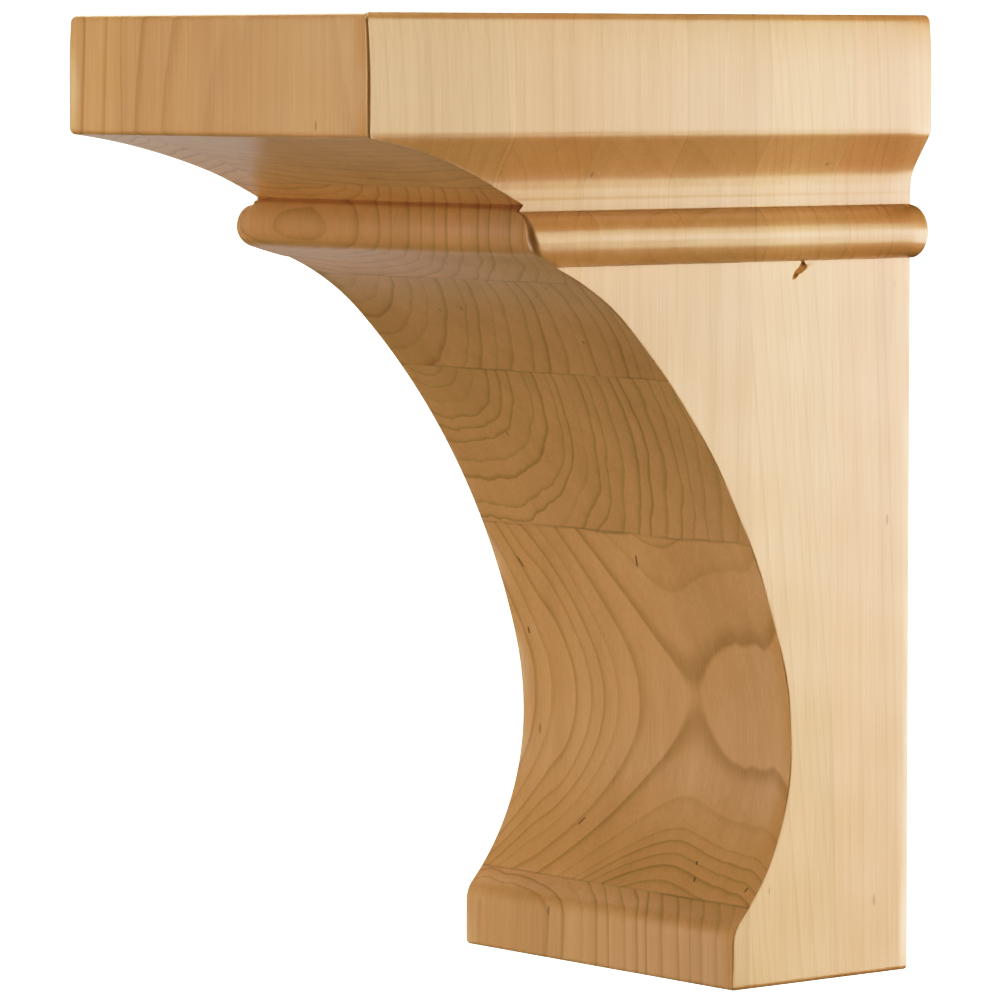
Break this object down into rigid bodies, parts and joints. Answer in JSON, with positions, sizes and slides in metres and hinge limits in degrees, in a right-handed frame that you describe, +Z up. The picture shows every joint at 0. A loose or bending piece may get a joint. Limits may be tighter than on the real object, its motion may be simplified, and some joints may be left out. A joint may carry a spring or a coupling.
{
  "type": "wooden corbel bracket",
  "caption": "Wall-mounted wooden corbel with a moulded top block, a bead and a concave bracket front, for holding up a shelf, mantel or counter.",
  "frame": {"origin": "middle of the flat back face, which lies against the wall", "axes": "+Y is the back face's outward normal, into the wall, so the front faces -Y; +X is the width; +Z is up"},
  "size_m": [0.127, 0.188, 0.254],
  "materials": {
    "wood": "satin clear coat on sanded, edge-glued maple boards"
  },
  "bodies": {
    "root": {"corbel": "wood"}
  },
  "joints": []
}
